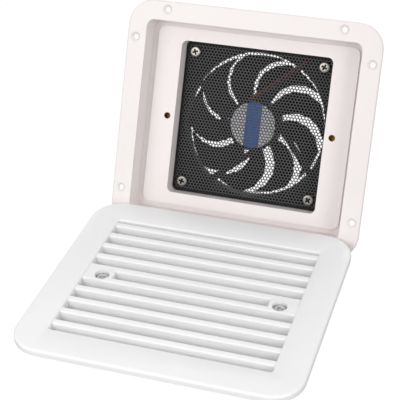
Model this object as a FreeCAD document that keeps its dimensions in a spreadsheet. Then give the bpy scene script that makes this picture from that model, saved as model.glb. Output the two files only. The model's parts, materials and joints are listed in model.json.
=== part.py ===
import FreeCAD, Part
import math
import os
import re

import Sketcher

# A side vent fan for a camper, in millimetres: a moulded base frame that screws to the vehicle's wall
# and holds a 120 mm fan behind a mesh, and a louvred cover that two screws hold on it.
# The cover is off: it lies on the ground with its outside up, and the base stands behind it and leans
# back, on the lower edge of its flange and the lower edge of its duct.
#
# Pieces of the base are drawn in the base's own frame: X right, Y up along the flange, Z out of its face.
# Pieces of the cover are drawn lying flat: X right, Y to the rear, Z up from the ground.
# Both groups are then placed in the part's frame: X right, Y to the rear, Z up.

SIZES = {
    # Base frame
    "flange_width": 200,
    "flange_height": 180,
    "flange_thick": 3,
    "flange_corner": 20,
    "flange_round": 1.2,
    "flange_border": 15,
    "mouth_corner": 6,
    "pocket_depth": 19.5,
    "pocket_wall": 2.2,
    "groove_width": 4.3,
    "groove_depth": 2.4,
    "panel_thick": 2.2,
    "mark_radius": 1,
    "mark_depth": 0.4,
    "mark_inset_x": 8.7,
    "mark_inset_y": 12.2,
    "bay_gap": 0.9,
    "bay_corner": 4.5,
    "bay_wall": 1.8,
    "guard_depth": 32.4,
    "back_wall": 2.3,
    "fit_gap": 0.05,
    # Holes in the flange
    "hole_inset": 6.5,
    "side_hole_y": 60,
    "end_hole_x": 69.5,
    "flange_hole": 4.2,
    "flange_sink": 7.8,
    # Threaded inserts for the cover's screws
    "insert_inset": 6.1,
    "insert_wall": 0.9,
    "insert_length": 8,
    "insert_boss_wall": 1.6,
    "thread_depth": 0.3,
    "knurl_groove": 0.4,
    # Fan screws and their bosses
    "screw_inset": 7.5,
    "screw_radius": 1.9,
    "screw_head": 4,
    "screw_head_tall": 2.6,
    "screw_grip": 6.8,
    "screw_tip_gap": 0.3,
    "screw_gap": 0.3,
    "boss_wall": 2.3,
    "boss_end": 1.2,
    # Mesh and its frame
    "filter_gap": 0.4,
    "filter_thick": 2.2,
    "mesh_thick": 0.8,
    "filter_rim": 2.6,
    "mesh_pitch": 7.8,
    "mesh_hole": 3.3,
    "eye_wall": 4.2,
    "mesh_land": 0.4,
    # Fan housing
    "fan_side": 120,
    "fan_corner": 5,
    "fan_depth": 25,
    "fan_flange": 3.8,
    "fan_rim": 2.2,
    "fan_duct_wall": 1.2,
    "flare_side": 0.7,
    "flare_square": 7.8,
    "flare_depth": 8,
    "hub_plate_lap": 0.5,
    "hub_plate_thick": 2.2,
    "hub_plate_set": 0.4,
    "strut_inset": 2.9,
    "strut_width": 4.8,
    "strut_thick": 2.6,
    "strut_set": 1.8,
    "strut_angle": 40,
    "label_inset": 2.3,
    "label_thick": 0.2,
    # Motor inside the hub
    "tube_radius": 5.5,
    "tube_bore": 3.6,
    "tube_front": 0.9,
    "tube_back": 18,
    "bearing_front": 4.5,
    "bearing_back": 16.5,
    "shaft_radius": 1.5,
    "shaft_gap": 0.03,
    "shaft_front": 2.8,
    "shaft_cap": 1,
    "shaft_neck": 1.2,
    "clip_radius": 2.8,
    "clip_thick": 0.5,
    "washer_gap": 0.4,
    "washer_thick": 0.5,
    "board_radius": 16.5,
    "board_front": 4.6,
    "board_thick": 1.2,
    "core_radius": 15.3,
    "core_front": 8,
    "core_thick": 7,
    "core_hub": 8,
    "core_shoe": 2.3,
    "pole_width": 3.6,
    "pole_slit": 2.4,
    "coil_half": 3.9,
    "coil_over": 1.2,
    "coil_gap": 0.3,
    # Rotor
    "rotor_radius": 20,
    "rotor_wall": 1.5,
    "rotor_front": 6.6,
    "rotor_set": 0.8,
    "rotor_end": 1.9,
    "rotor_boss": 4,
    "rotor_boss_gap": 0.8,
    "rotor_round": 1.5,
    "yoke_wall": 0.9,
    "yoke_front": 7.2,
    "magnet_thick": 1.55,
    "magnet_front": 7.8,
    "magnet_back": 16.6,
    "blade_count": 9,
    "tip_gap": 2.3,
    "blade_phase": 0,
    "blade_sweep": 29.4,
    "blade_sweep_power": 2.3,
    "blade_gap_root": 4.7,
    "blade_gap_tip": 7.8,
    "blade_front": 7.2,
    "blade_set": 7.2,
    "blade_thick": 1.3,
    "blade_camber": 1.2,
    "blade_stations": 6,
    # Leads and their connector
    "lead_radius": 0.8,
    "lead_pitch": 1.9,
    "lead_start": 9,
    "lead_bend": 2.2,
    "lead_gap": 0.4,
    "lead_inset": 8.5,
    "lead_hole": 3,
    "plug_width": 8,
    "plug_height": 6,
    "plug_length": 7,
    "plug_corner": 1,
    # Louvre cover
    "cover_lap": 3,
    "nest_gap": 2,
    "cover_skin": 2,
    "cover_round": 3.5,
    "lap_gap": 0.5,
    "louvre_gap_x": 3,
    "louvre_gap_y": 4.1,
    "window_corner": 2,
    "window_round": 1.2,
    "louvre_wall": 2.2,
    "slat_count": 10,
    "slat_end_gap": 4.35,
    "slat_top": 5.4,
    "slat_foot": 2.2,
    "slat_lean": -3.2,
    "slat_drop": 2.5,
    "slat_clear": 3,
    "slat_round": 1.4,
    "cover_boss_wall": 2.4,
    "boss_flat": 0.5,
    "cover_bore_gap": 1,
    "cover_seat": 6,
    "cover_hole_gap": 0.3,
    "cover_bolt": 2,
    "cover_bolt_head": 5,
    "cover_bolt_head_tall": 2.6,
    "cover_bolt_length": 12,
    "ground_gap": 0.3,
    # Where the two groups rest
    "rest_gap": 0.4,
    "cover_shift": 3.4,
}

doc = FreeCAD.newDocument("camper_side_vent_fan")
sheet = doc.addObject("Spreadsheet::Sheet", "Sizes")
for row, (name, value) in enumerate(SIZES.items(), start=1):
    sheet.set(f"A{row}", name.replace("_", " "))
    sheet.set(f"B{row}", str(value))
    sheet.setAlias(f"B{row}", name)
doc.recompute()

X_AXIS = FreeCAD.Vector(1, 0, 0)
Z_AXIS = FreeCAD.Vector(0, 0, 1)
ORIGIN = FreeCAD.Vector(0, 0, 0)


def size(text):
    """The value of an expression in the sheet's names."""
    return float(sheet.evalExpression(str(text)))


def bind(thing, prop, text):
    """Tie a property to an expression in the sheet's names."""
    words = re.sub(r"[a-z_]+", lambda found: f"Sizes.{found[0]}" if found[0] in SIZES else found[0], str(text))
    thing.setExpression(prop, words)


# Sketches and features

def add_body(name):
    body = doc.addObject("PartDesign::Body", name)
    body.Label = name
    return body


def origin_part(body, role):
    return next(part for part in body.Origin.OriginFeatures if part.Role == role)


def add_sketch(body, plane="XY_Plane", at="0"):
    sketch = body.newObject("Sketcher::SketchObject", "Sketch")
    sketch.AttachmentSupport = (origin_part(body, plane), [""])
    sketch.MapMode = "FlatFace"
    bind(sketch, "AttachmentOffset.Base.z", at)
    return sketch


def constrain(sketch, text, *what):
    """A constraint whose value is an expression in the sheet's names."""
    number = sketch.addConstraint(Sketcher.Constraint(*what, size(text)))
    bind(sketch, f"Constraints[{number}]", text)


def fix_point(sketch, item, end, x, y):
    """Hold a point of a sketch at x, y from the sketch's origin."""
    if str(x) == "0":
        sketch.addConstraint(Sketcher.Constraint("PointOnObject", item, end, -2))
    else:
        constrain(sketch, x, "DistanceX", -1, 1, item, end)
    if str(y) == "0":
        sketch.addConstraint(Sketcher.Constraint("PointOnObject", item, end, -1))
    else:
        constrain(sketch, y, "DistanceY", -1, 1, item, end)


def circle(sketch, x, y, radius):
    centre = FreeCAD.Vector(size(x), size(y), 0)
    item = sketch.addGeometry(Part.Circle(centre, Z_AXIS, size(radius)))
    fix_point(sketch, item, 3, x, y)
    constrain(sketch, radius, "Radius", item)


def polygon(sketch, points):
    """A closed outline of straight lines through points given as pairs of expressions."""
    places = [FreeCAD.Vector(size(x), size(y), 0) for x, y in points]
    count = len(points)
    first = sketch.GeometryCount
    for step in range(count):
        sketch.addGeometry(Part.LineSegment(places[step], places[(step + 1) % count]))
    for step in range(count):
        follower = first + (step + 1) % count
        sketch.addConstraint(Sketcher.Constraint("Coincident", first + step, 2, follower, 1))
    for step, (x, y) in enumerate(points):
        fix_point(sketch, first + step, 1, x, y)


def box_outline(sketch, half_x, half_y, x="0", y="0"):
    polygon(sketch, [
        (f"({x}) - ({half_x})", f"({y}) - ({half_y})"),
        (f"({x}) + ({half_x})", f"({y}) - ({half_y})"),
        (f"({x}) + ({half_x})", f"({y}) + ({half_y})"),
        (f"({x}) - ({half_x})", f"({y}) + ({half_y})"),
    ])


def rounded_box(sketch, half_x, half_y, radius, x="0", y="0"):
    """A rectangle about x, y whose corners are tangent arcs, held by the arcs' centres and one radius."""
    wide = size(half_x)
    tall = size(half_y)
    corner = size(radius)
    middle = FreeCAD.Vector(size(x), size(y), 0)
    signs = [(1, 1), (-1, 1), (-1, -1), (1, -1)]
    first = sketch.GeometryCount
    for turn, (sign_x, sign_y) in enumerate(signs):
        centre = middle + FreeCAD.Vector(sign_x * (wide - corner), sign_y * (tall - corner), 0)
        start = turn * math.pi / 2
        sketch.addGeometry(Part.ArcOfCircle(Part.Circle(centre, Z_AXIS, corner), start, start + math.pi / 2))
    for turn in range(4):
        start = sketch.getPoint(first + turn, 2)
        end = sketch.getPoint(first + (turn + 1) % 4, 1)
        sketch.addGeometry(Part.LineSegment(start, end))
    for turn in range(4):
        arc = first + turn
        line = first + 4 + turn
        sketch.addConstraint(Sketcher.Constraint("Tangent", arc, 2, line, 1))
        sketch.addConstraint(Sketcher.Constraint("Tangent", line, 2, first + (turn + 1) % 4, 1))
        sketch.addConstraint(Sketcher.Constraint("Horizontal" if turn % 2 == 0 else "Vertical", line))
    for turn in range(1, 4):
        sketch.addConstraint(Sketcher.Constraint("Equal", first, first + turn))
    constrain(sketch, radius, "Radius", first)
    fix_point(sketch, first, 3, f"({x}) + ({half_x}) - ({radius})", f"({y}) + ({half_y}) - ({radius})")
    fix_point(sketch, first + 2, 3, f"({x}) - ({half_x}) + ({radius})", f"({y}) - ({half_y}) + ({radius})")


def pad(body, sketch, length, up=False):
    feature = body.newObject("PartDesign::Pad", "Pad")
    feature.Profile = sketch
    feature.Reversed = not up
    bind(feature, "Length", length)
    return feature


def cut(body, sketch, length=None, up=False, taper=None):
    """A pocket down from the sketch, or up from it, to a depth or through all, and narrowing by a taper."""
    feature = body.newObject("PartDesign::Pocket", "Pocket")
    feature.Profile = sketch
    feature.Reversed = up
    if length is None:
        feature.Type = "ThroughAll"
    else:
        bind(feature, "Length", length)
    if taper is not None:
        bind(feature, "TaperAngle", taper)
    return feature


def turn(body, points):
    """A solid turned about the Z axis from a profile of radius and height pairs."""
    sketch = add_sketch(body, "XZ_Plane")
    polygon(sketch, points)
    feature = body.newObject("PartDesign::Revolution", "Revolution")
    feature.Profile = sketch
    feature.ReferenceAxis = (sketch, ["V_Axis"])
    feature.Angle = 360
    return feature


def around(body, features, count):
    """Copies of features about the Z axis."""
    pattern = body.newObject("PartDesign::PolarPattern", "PolarPattern")
    pattern.Originals = features
    pattern.Axis = (origin_part(body, "Z_Axis"), [""])
    pattern.Angle = 360
    bind(pattern, "Occurrences", count)
    body.Tip = pattern
    return pattern


def chosen_edges(feature, chosen):
    doc.recompute()
    return [f"Edge{number}" for number, edge in enumerate(feature.Shape.Edges, start=1) if chosen(edge)]


def round_edges(body, feature, radius, chosen):
    """Fillet the edges of a feature that the test chooses."""
    names = chosen_edges(feature, chosen)
    fillet = body.newObject("PartDesign::Fillet", "Fillet")
    fillet.Base = (feature, names)
    bind(fillet, "Radius", radius)
    return fillet


def bevel_edges(body, feature, width, chosen):
    """Chamfer the edges of a feature that the test chooses."""
    names = chosen_edges(feature, chosen)
    chamfer = body.newObject("PartDesign::Chamfer", "Chamfer")
    chamfer.Base = (feature, names)
    bind(chamfer, "Size", width)
    return chamfer


def flat_at(edge, height):
    """True for an edge that lies whole at one height."""
    box = edge.BoundBox
    return abs(box.ZMin - height) < 0.01 and abs(box.ZMax - height) < 0.01


def within(edge, half_x, half_y):
    """True for an edge whose middle lies in or on a rectangle about the Z axis."""
    middle = edge.valueAt((edge.FirstParameter + edge.LastParameter) / 2)
    return abs(middle.x) < half_x + 0.01 and abs(middle.y) < half_y + 0.01


# Lengths worked out from the sizes, as expressions
HALF_FLANGE_X = "flange_width / 2"
HALF_FLANGE_Y = "flange_height / 2"
HALF_MOUTH_X = "(flange_width / 2 - flange_border)"
HALF_MOUTH_Y = "(flange_height / 2 - flange_border)"
HALF_PANEL_X = f"({HALF_MOUTH_X} - groove_width)"
HALF_PANEL_Y = f"({HALF_MOUTH_Y} - groove_width)"
HALF_BAY = "(fan_side / 2 + bay_gap)"
HALF_DUCT = "(fan_side / 2 + bay_gap + bay_wall)"
HALF_FILTER = "(fan_side / 2 + bay_gap - filter_gap)"
FAN_BORE = "(fan_side / 2 - fan_rim)"
FLARE_HALF = "(fan_side / 2 - fan_rim + flare_side)"
FLARE_CORNER = "(fan_side / 2 - fan_rim - flare_square)"
FLARE_REACH = "((flare_side + flare_square) * sqrt(2) - flare_square)"
SCREW_AT = "(fan_side / 2 - screw_inset)"
SCREW_HOLE = "(screw_radius + screw_gap)"
SCREW_LENGTH = "(filter_thick + fan_depth + screw_grip)"
COVER_SCREW_AT = "(fan_side / 2 + bay_gap + insert_inset)"
INSERT_RADIUS = "(cover_bolt - thread_depth + insert_wall)"

# Heights in the base's frame, from the front of the flange
TUB_BACK = "-(pocket_depth + groove_depth + panel_thick)"
FAN_FRONT = "-(guard_depth + filter_thick)"
FAN_BACK = "-(guard_depth + filter_thick + fan_depth)"
DUCT_BACK = "-(guard_depth + filter_thick + fan_depth + back_wall)"
CORNERS = [(1, 1), (-1, 1), (-1, -1), (1, -1)]


def across(along, side, angle="strut_angle"):
    """A point at a distance along a line at this angle, and to the line's side, as a pair of expressions."""
    return (f"({along}) * cos({angle}) - ({side}) * sin({angle})",
            f"({along}) * sin({angle}) + ({side}) * cos({angle})")


HUB_PLATE = "(rotor_radius + hub_plate_lap)"
STRUT_OFFSET = "(rotor_radius + hub_plate_lap - strut_inset)"
LEAD_RUN = f"sqrt(({FAN_BORE} + lead_inset) ^ 2 - {STRUT_OFFSET} ^ 2)"
LEAD_EXIT = across(LEAD_RUN, STRUT_OFFSET)


def corner_circles(sketch, radius, reach_x=SCREW_AT, reach_y=SCREW_AT):
    for sign_x, sign_y in CORNERS:
        circle(sketch, f"{sign_x} * ({reach_x})", f"{sign_y} * ({reach_y})", radius)


def side_circles(sketch, radius):
    for sign in (1, -1):
        circle(sketch, f"{sign} * {COVER_SCREW_AT}", "0", radius)


# Base frame: one moulding with a flange, a shallow pocket, a raised panel inside a groove, and a duct.
# The panel has a small round mould mark near each corner.

base_frame = add_body("base_frame")
outline = add_sketch(base_frame)
rounded_box(outline, HALF_FLANGE_X, HALF_FLANGE_Y, "flange_corner")
flange = pad(base_frame, outline, "flange_thick")
round_edges(base_frame, flange, "flange_round", lambda edge: flat_at(edge, 0))

outline = add_sketch(base_frame)
rounded_box(outline, f"{HALF_MOUTH_X} + pocket_wall", f"{HALF_MOUTH_Y} + pocket_wall", "mouth_corner + pocket_wall")
pad(base_frame, outline, f"-({TUB_BACK})")

outline = add_sketch(base_frame, at="-pocket_depth")
rounded_box(outline, HALF_DUCT, HALF_DUCT, "bay_corner + bay_wall")
pad(base_frame, outline, f"-({DUCT_BACK}) - pocket_depth")

outline = add_sketch(base_frame, at=FAN_BACK)
corner_circles(outline, "screw_radius + boss_wall")
pad(base_frame, outline, "screw_grip + screw_tip_gap + boss_end")

mouth = add_sketch(base_frame)
rounded_box(mouth, HALF_MOUTH_X, HALF_MOUTH_Y, "mouth_corner")
cut(base_frame, mouth, "pocket_depth")

ring = add_sketch(base_frame, at="-pocket_depth")
rounded_box(ring, HALF_MOUTH_X, HALF_MOUTH_Y, "mouth_corner")
rounded_box(ring, HALF_PANEL_X, HALF_PANEL_Y, "mouth_corner")
cut(base_frame, ring, "groove_depth")

hollow = add_sketch(base_frame, at=TUB_BACK)
rounded_box(hollow, f"{HALF_PANEL_X} - pocket_wall", f"{HALF_PANEL_Y} - pocket_wall", "mouth_corner - pocket_wall")
rounded_box(hollow, HALF_DUCT, HALF_DUCT, "bay_corner + bay_wall")
cut(base_frame, hollow, "groove_depth", up=True)

outline = add_sketch(base_frame, at="-pocket_depth")
side_circles(outline, f"{INSERT_RADIUS} + insert_boss_wall")
pad(base_frame, outline, "insert_length + panel_thick")

bay = add_sketch(base_frame, at="-pocket_depth")
rounded_box(bay, HALF_BAY, HALF_BAY, "bay_corner")
cut(base_frame, bay, f"-({FAN_BACK}) - pocket_depth")

marks = add_sketch(base_frame, at="-pocket_depth")
corner_circles(marks, "mark_radius", f"{HALF_PANEL_X} - mark_inset_x", f"{HALF_PANEL_Y} - mark_inset_y")
cut(base_frame, marks, "mark_depth")

bore = add_sketch(base_frame, at=FAN_BACK)
rounded_box(bore, FLARE_HALF, FLARE_HALF, FLARE_CORNER)
circle(bore, *LEAD_EXIT, "lead_hole")
cut(base_frame, bore, "back_wall")

bores = add_sketch(base_frame, at=FAN_BACK)
corner_circles(bores, "screw_radius + fit_gap")
cut(base_frame, bores, "screw_grip + screw_tip_gap")

inserts = add_sketch(base_frame, at="-pocket_depth")
side_circles(inserts, f"{INSERT_RADIUS} + fit_gap")
cut(base_frame, inserts, "insert_length + fit_gap")

holes = add_sketch(base_frame)
corner_circles(holes, "flange_hole / 2", f"{HALF_FLANGE_X} - hole_inset", "side_hole_y")
corner_circles(holes, "flange_hole / 2", "end_hole_x", f"{HALF_FLANGE_Y} - hole_inset")
doc.recompute()
drilled = base_frame.newObject("PartDesign::Hole", "Hole")
drilled.Profile = holes
drilled.DepthType = "ThroughAll"
drilled.Threaded = False
bind(drilled, "Diameter", "flange_hole")
drilled.HoleCutType = "Countersink"
drilled.HoleCutCustomValues = True
bind(drilled, "HoleCutDiameter", "flange_sink")
drilled.HoleCutCountersinkAngle = 90
base_frame.Tip = drilled

# Threaded inserts: two brass bushes with a knurl groove, pressed into the panel

threaded_inserts = add_body("threaded_inserts")
sketch = add_sketch(threaded_inserts, at="-pocket_depth")
side_circles(sketch, INSERT_RADIUS)
side_circles(sketch, "cover_bolt - thread_depth")
pad(threaded_inserts, sketch, "insert_length")
sketch = add_sketch(threaded_inserts, at="-pocket_depth - insert_length / 2 + knurl_groove")
side_circles(sketch, INSERT_RADIUS)
side_circles(sketch, f"{INSERT_RADIUS} - knurl_groove")
cut(threaded_inserts, sketch, "2 * knurl_groove")

# Filter frame: a thin square frame with a screw eye in each corner

filter_frame = add_body("filter_frame")
outline = add_sketch(filter_frame, at=f"{FAN_FRONT} + filter_thick - mesh_thick")
rounded_box(outline, HALF_FILTER, HALF_FILTER, "bay_corner")
pad(filter_frame, outline, "filter_thick - mesh_thick")
inside = add_sketch(filter_frame, at=f"{FAN_FRONT} + filter_thick - mesh_thick")
rounded_box(inside, f"{HALF_FILTER} - filter_rim", f"{HALF_FILTER} - filter_rim", "bay_corner / 2")
cut(filter_frame, inside)
eyes = add_sketch(filter_frame, at=f"{FAN_FRONT} + filter_thick - mesh_thick")
corner_circles(eyes, f"{SCREW_HOLE} + eye_wall")
pad(filter_frame, eyes, "filter_thick - mesh_thick")
eyes = add_sketch(filter_frame, at=f"{FAN_FRONT} + filter_thick - mesh_thick")
corner_circles(eyes, SCREW_HOLE)
cut(filter_frame, eyes)

# Filter mesh: a sheet with rows of holes, each row set half a pitch from the last, and bare round the screws

filter_mesh = doc.addObject("Part::Feature", "filter_mesh")
mesh_pitch = size("mesh_pitch")
mesh_reach = size(f"{HALF_FILTER} - filter_rim - mesh_hole")
mesh_back = size("-(guard_depth + mesh_thick)")
screw_reach = size(SCREW_AT)
bare_reach = size("screw_head + mesh_hole + mesh_land")


def hexagon(x, y, radius):
    middle = FreeCAD.Vector(x, y, mesh_back)
    turns = [step * math.pi / 3 for step in range(7)]
    return Part.makePolygon([middle + FreeCAD.Vector(math.sin(turn), math.cos(turn), 0) * radius for turn in turns])


row_gap = mesh_pitch * math.sqrt(3) / 2
row_reach = int(mesh_reach / row_gap)
column_reach = int(mesh_reach / mesh_pitch) + 1
mesh_holes = []
for row in range(-row_reach, row_reach + 1):
    for column in range(-column_reach, column_reach + 1):
        x = (column + 0.5 * (row % 2)) * mesh_pitch
        y = row * row_gap
        near_screw = math.hypot(abs(x) - screw_reach, abs(y) - screw_reach) < bare_reach
        if abs(x) <= mesh_reach and not near_screw:
            mesh_holes.append(hexagon(x, y, size("mesh_hole")))
for sign_x, sign_y in CORNERS:
    middle = FreeCAD.Vector(sign_x * screw_reach, sign_y * screw_reach, mesh_back)
    mesh_holes.append(Part.Wire(Part.makeCircle(size(SCREW_HOLE), middle)))
sheet_side = 2 * size(HALF_FILTER)
sheet_corner = FreeCAD.Vector(-sheet_side / 2, -sheet_side / 2, mesh_back)
sheet_solid = Part.makeBox(sheet_side, sheet_side, size("mesh_thick"), sheet_corner)
upright = [edge for edge in sheet_solid.Edges if abs(edge.tangentAt(edge.FirstParameter).z) > 0.9]
sheet_solid = sheet_solid.makeFillet(size("bay_corner"), upright)
sheet_face = min(sheet_solid.Faces, key=lambda face: face.CenterOfMass.z)
sheet_face = sheet_face.cut(Part.makeCompound([Part.Face(wire) for wire in mesh_holes]))
filter_mesh.Shape = sheet_face.Faces[0].extrude(Z_AXIS * size("mesh_thick"))

# Fan screws: four pan heads on the mesh, their shanks through the fan's corners into the bosses

fan_screws = add_body("fan_screws")
heads = add_sketch(fan_screws, at="-guard_depth")
corner_circles(heads, "screw_head")
pad(fan_screws, heads, "screw_head_tall", up=True)
shanks = add_sketch(fan_screws, at="-guard_depth")
corner_circles(shanks, "screw_radius")
pad(fan_screws, shanks, SCREW_LENGTH)
bevel_edges(
    fan_screws, fan_screws.Tip, "screw_head_tall * 0.5",
    lambda edge: flat_at(edge, size("screw_head_tall - guard_depth")))

# Fan housing: square flanges front and back, a round duct that flares into the corners at both ends,
# a hub plate and four struts tangent to it

fan_housing = add_body("fan_housing")
outline = add_sketch(fan_housing, at=FAN_FRONT)
rounded_box(outline, "fan_side / 2", "fan_side / 2", "fan_corner")
pad(fan_housing, outline, "fan_flange")
outline = add_sketch(fan_housing, at=f"{FAN_BACK} + fan_flange")
rounded_box(outline, "fan_side / 2", "fan_side / 2", "fan_corner")
pad(fan_housing, outline, "fan_flange")
duct = add_sketch(fan_housing, at=FAN_FRONT)
rounded_box(duct, f"{FLARE_HALF} + fan_duct_wall", f"{FLARE_HALF} + fan_duct_wall", f"{FLARE_CORNER} + fan_duct_wall")
pad(fan_housing, duct, "fan_depth")
bore = add_sketch(fan_housing, at=FAN_FRONT)
circle(bore, "0", "0", FAN_BORE)
corner_circles(bore, SCREW_HOLE)
circle(bore, *LEAD_EXIT, "lead_hole")
cut(fan_housing, bore)
for height, up in ((FAN_FRONT, False), (FAN_BACK, True)):
    flare = add_sketch(fan_housing, at=height)
    rounded_box(flare, FLARE_HALF, FLARE_HALF, FLARE_CORNER)
    cut(fan_housing, flare, "flare_depth", up, taper=f"-atan({FLARE_REACH} / flare_depth)")
plate = add_sketch(fan_housing, at=f"{FAN_FRONT} - hub_plate_set")
circle(plate, "0", "0", HUB_PLATE)
pad(fan_housing, plate, "hub_plate_thick")
strut = add_sketch(fan_housing, at=f"{FAN_FRONT} - strut_set")
strut_in = f"{STRUT_OFFSET} - strut_width / 2"
strut_out = f"({STRUT_OFFSET} + strut_width / 2)"
strut_far = f"sqrt(({FAN_BORE} + {FLARE_REACH} + fan_duct_wall / 2) ^ 2 - {strut_out} ^ 2)"
polygon(strut, [
    across("-strut_width", strut_in),
    across(strut_far, strut_in),
    across(strut_far, strut_out),
    across("-strut_width", strut_out),
])
strut_pad = pad(fan_housing, strut, "strut_thick")
around(fan_housing, [strut_pad], "4")
centre = add_sketch(fan_housing, at=FAN_FRONT)
circle(centre, "0", "0", "tube_radius + fit_gap")
cut(fan_housing, centre, "hub_plate_set + hub_plate_thick + 1")
groove = add_sketch(fan_housing, at=FAN_FRONT)
channel_half = "(lead_pitch / 2 + lead_radius + lead_gap)"
polygon(groove, [
    across("lead_start", f"{STRUT_OFFSET} - {channel_half}"),
    across(LEAD_RUN, f"{STRUT_OFFSET} - {channel_half}"),
    across(LEAD_RUN, f"{STRUT_OFFSET} + {channel_half}"),
    across("lead_start", f"{STRUT_OFFSET} + {channel_half}"),
])
cut(fan_housing, groove, "strut_set")

# Hub label: a plain round sticker over the bearing

hub_label = add_body("hub_label")
disc = add_sketch(hub_label, at=f"{FAN_FRONT} - hub_plate_set")
circle(disc, "0", "0", f"{HUB_PLATE} - label_inset")
pad(hub_label, disc, "label_thick", up=True)


# Motor: the bearing tube stands on the hub plate and carries the bearing, the board and the stator

ROTOR_BACK = "(fan_depth - rotor_set)"
SHAFT_BACK = "(fan_depth - rotor_set - shaft_cap)"


def fan_height(text):
    return f"{FAN_FRONT} - ({text})"


def turned(name, profile):
    """A turned piece of the motor, from radius and depth behind the fan's front face."""
    body = add_body(name)
    turn(body, [(radius, fan_height(depth)) for radius, depth in profile])
    return body


def ring_profile(inner, outer, front, back):
    return [(inner, front), (outer, front), (outer, back), (inner, back)]


bearing_tube = turned("bearing_tube", ring_profile("tube_bore", "tube_radius", "tube_front", "tube_back"))
sleeve_bearing = turned("sleeve_bearing", ring_profile(
    "shaft_radius + shaft_gap", "tube_bore - fit_gap", "bearing_front", "bearing_back"))
thrust_washer = turned("thrust_washer", ring_profile(
    "shaft_radius + shaft_gap", "tube_bore - washer_gap", "bearing_back + 0.1", "bearing_back + 0.1 + washer_thick"))
shaft = turned("shaft", [
    ("0", "shaft_front"),
    ("shaft_radius", "shaft_front"),
    ("shaft_radius", "bearing_front - 0.2 - clip_thick"),
    ("shaft_neck", "bearing_front - 0.2 - clip_thick"),
    ("shaft_neck", "bearing_front - 0.1"),
    ("shaft_radius", "bearing_front - 0.1"),
    ("shaft_radius", SHAFT_BACK),
    ("0", SHAFT_BACK),
])
retaining_clip = turned("retaining_clip", ring_profile(
    "shaft_neck + shaft_gap", "clip_radius", "bearing_front - 0.15 - clip_thick", "bearing_front - 0.15"))
slit = add_sketch(retaining_clip, at=fan_height("bearing_front - 0.15 - clip_thick"))
box_outline(slit, "clip_radius / 2 + 0.1", "shaft_neck * 0.8", "clip_radius / 2 + 0.1")
cut(retaining_clip, slit, "clip_thick")

circuit_board = turned("circuit_board", ring_profile(
    "tube_radius + fit_gap", "board_radius", "board_front", "board_front + board_thick"))

stator_core = add_body("stator_core")
disc = add_sketch(stator_core, at=fan_height("core_front"))
circle(disc, "0", "0", "core_radius")
circle(disc, "0", "0", "core_radius - core_shoe")
pad(stator_core, disc, "core_thick")
hub = add_sketch(stator_core, at=fan_height("core_front"))
circle(hub, "0", "0", "core_hub")
pad(stator_core, hub, "core_thick")
arm = add_sketch(stator_core, at=fan_height("core_front"))
box_outline(arm, "(core_radius - core_shoe + 0.5) / 2", "pole_width / 2", "(core_radius - core_shoe + 0.5) / 2")
arm_pad = pad(stator_core, arm, "core_thick")
around(stator_core, [arm_pad], "4")
slit = add_sketch(stator_core, at=fan_height("core_front"))
slit_near = "core_radius - core_shoe - 1"
slit_far = "core_radius + 1"
polygon(slit, [
    across(slit_near, "-pole_slit / 2", "45"),
    across(slit_far, "-pole_slit / 2", "45"),
    across(slit_far, "pole_slit / 2", "45"),
    across(slit_near, "pole_slit / 2", "45"),
])
slit_cut = cut(stator_core, slit, "core_thick")
around(stator_core, [slit_cut], "4")
centre = add_sketch(stator_core, at=fan_height("core_front"))
circle(centre, "0", "0", "tube_radius + fit_gap")
cut(stator_core, centre, "core_thick")

coils = add_body("coils")
winding = add_sketch(coils, at=fan_height("core_front - coil_over"))
coil_near = "core_hub + coil_gap"
coil_far = "core_radius - core_shoe - coil_gap - 0.6"
box_outline(winding, f"(({coil_far}) - ({coil_near})) / 2", "coil_half", f"(({coil_far}) + ({coil_near})) / 2")
winding_pad = pad(coils, winding, "core_thick + 2 * coil_over")
opening = add_sketch(coils, "YZ_Plane", at=coil_near)
polygon(opening, [
    ("-pole_width / 2 - fit_gap", fan_height("core_front - fit_gap")),
    ("pole_width / 2 + fit_gap", fan_height("core_front - fit_gap")),
    ("pole_width / 2 + fit_gap", fan_height("core_front + core_thick + fit_gap")),
    ("-pole_width / 2 - fit_gap", fan_height("core_front + core_thick + fit_gap")),
])
opening_cut = cut(coils, opening, up=True)
around(coils, [winding_pad, opening_cut], "4")

# Rotor: a moulded cup with nine sickle blades, a steel yoke, a ring magnet and the shaft

rotor_cup = turned("rotor_cup", [
    ("rotor_radius - rotor_wall - fit_gap - yoke_wall", "yoke_front"),
    ("rotor_radius - rotor_wall - fit_gap", "yoke_front"),
    ("rotor_radius - rotor_wall - fit_gap", f"{ROTOR_BACK} - rotor_end - fit_gap"),
    ("rotor_boss + fit_gap", f"{ROTOR_BACK} - rotor_end - fit_gap"),
    ("rotor_boss + fit_gap", f"{ROTOR_BACK} - rotor_end - fit_gap - yoke_wall"),
    ("rotor_radius - rotor_wall - fit_gap - yoke_wall", f"{ROTOR_BACK} - rotor_end - fit_gap - yoke_wall"),
])
magnet_outer = "rotor_radius - rotor_wall - yoke_wall - 2 * fit_gap"
magnet_ring = turned("magnet_ring", ring_profile(
    f"{magnet_outer} - magnet_thick", magnet_outer, "magnet_front", "magnet_back"))

rotor_hub = turned("rotor_hub", [
    ("0", SHAFT_BACK),
    ("shaft_radius", SHAFT_BACK),
    ("shaft_radius", "tube_back + rotor_boss_gap"),
    ("rotor_boss", "tube_back + rotor_boss_gap"),
    ("rotor_boss", f"{ROTOR_BACK} - rotor_end"),
    ("rotor_radius - rotor_wall", f"{ROTOR_BACK} - rotor_end"),
    ("rotor_radius - rotor_wall", "rotor_front"),
    ("rotor_radius", "rotor_front"),
    ("rotor_radius", f"{ROTOR_BACK} - rotor_round"),
    ("rotor_radius - rotor_round", ROTOR_BACK),
    ("0", ROTOR_BACK),
])

blade_pitch = 360 / round(size("blade_count"))
rotor_radius = size("rotor_radius")
blade_tip = size(f"{FAN_BORE} - tip_gap")


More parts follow.
